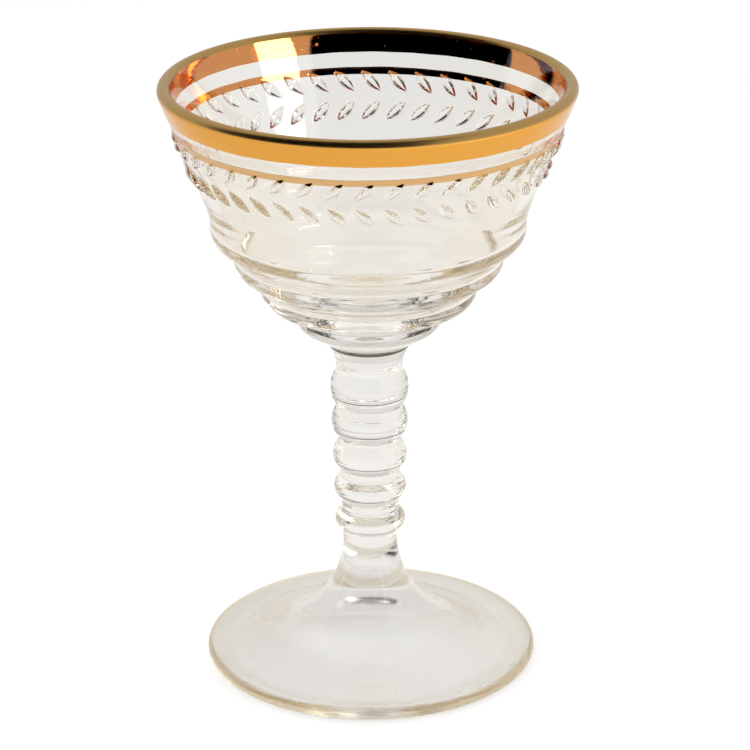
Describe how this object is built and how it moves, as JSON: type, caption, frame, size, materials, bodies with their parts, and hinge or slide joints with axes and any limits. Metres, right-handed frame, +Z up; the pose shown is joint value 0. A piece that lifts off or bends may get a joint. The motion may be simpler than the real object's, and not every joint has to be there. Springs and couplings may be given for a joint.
{
  "type": "oyster cocktail glass",
  "caption": "Clear pressed-glass stem glass with a stepped bowl, laurel leaf relief band, gilded rim, ringed stem and round foot, for serving a small cocktail.",
  "frame": {"origin": "on the table, under the middle of the foot", "axes": "+Z up along the axis of the glass, towards the rim; -Y is the side that the picture shows"},
  "size_m": [0.0812, 0.0812, 0.1208],
  "materials": {
    "clear_glass": "clear fire-polished pressed glass with a faint warm tint",
    "fired_gold": "bright fired gold, mirror polished and slightly worn"
  },
  "bodies": {
    "root": {"bowl": "clear_glass", "stem": "clear_glass", "foot": "clear_glass", "rim_gold_band": "fired_gold", "gold_hairline": "fired_gold"}
  },
  "joints": []
}
